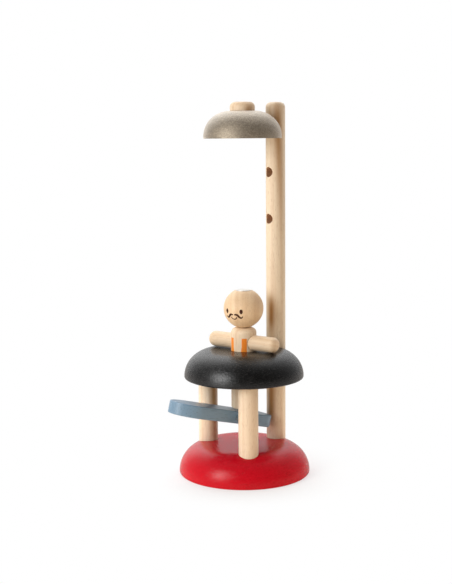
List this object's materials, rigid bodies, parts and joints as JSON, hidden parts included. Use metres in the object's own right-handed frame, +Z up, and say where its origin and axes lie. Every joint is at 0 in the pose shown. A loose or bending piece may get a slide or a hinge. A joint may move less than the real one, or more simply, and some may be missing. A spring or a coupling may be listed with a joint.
{
  "type": "wooden acrobat toy",
  "caption": "Turned wooden toy: pressing a see-saw lever throws a figure out of a platform's hole, up a post to a bell whose magnet holds its head.",
  "frame": {"origin": "centre of the base's underside, on the toy's turning axis, where it rests on the table", "axes": "+Z up along the posts and the figure's path, +X towards the tall post, -X towards the lever's paddle"},
  "size_m": [0.1422, 0.122, 0.343],
  "materials": {
    "natural_wood": "satin, clear sealed",
    "red_lacquered_wood": "gloss lacquer",
    "black_lacquered_wood": "semi-gloss lacquer over open grain",
    "blue_grey_painted_wood": "satin paint",
    "grey_painted_wood": "satin paint over open grain",
    "plate_steel": "brushed",
    "magnet_metal": "nickel plated",
    "axle_steel": "drawn and polished",
    "orange_printed_wood": "matt print",
    "brown_printed_wood": "matt print"
  },
  "bodies": {
    "stand": {"base": "red_lacquered_wood", "tall_post": "natural_wood", "short_post_left": "natural_wood", "short_post_front": "natural_wood", "platform": "black_lacquered_wood"},
    "rocker": {"lever": "blue_grey_painted_wood", "lever_axle": "axle_steel"},
    "neck": {"neck_dowel": "natural_wood"},
    "acrobat": {"acrobat_body": "natural_wood", "acrobat_arm_left": "natural_wood", "acrobat_arm_right": "natural_wood", "acrobat_head": "natural_wood", "head_plate": "plate_steel"},
    "bell_unit": {"bell": "grey_painted_wood", "bell_knob": "natural_wood", "bell_magnet": "magnet_metal", "bell_peg": "natural_wood"}
  },
  "joints": [
    {"name": "lever_press", "type": "hinge", "parent": "stand", "child": "rocker", "pos_m": [-0.0187, 0, 0.0571], "axis": [0, -1, 0], "range_deg": [0, 53.3]},
    {"name": "acrobat_jump", "type": "slide", "parent": "stand", "child": "neck", "axis": [0, 0, 1], "range_m": [0, 0.1461]},
    {"name": "acrobat_turn", "type": "hinge", "parent": "neck", "child": "acrobat", "pos_m": [0, 0, 0.137], "axis": [0, 0, 1], "range_deg": [-83, 44.5]},
    {"name": "bell_unplug", "type": "slide", "parent": "stand", "child": "bell_unit", "axis": [-1, 0, 0], "range_m": [0, 0.08]}
  ],
  "couplings": [
    {"joint": "lever_press", "follows": "acrobat_jump", "rad_per_m": 6.367}
  ]
}
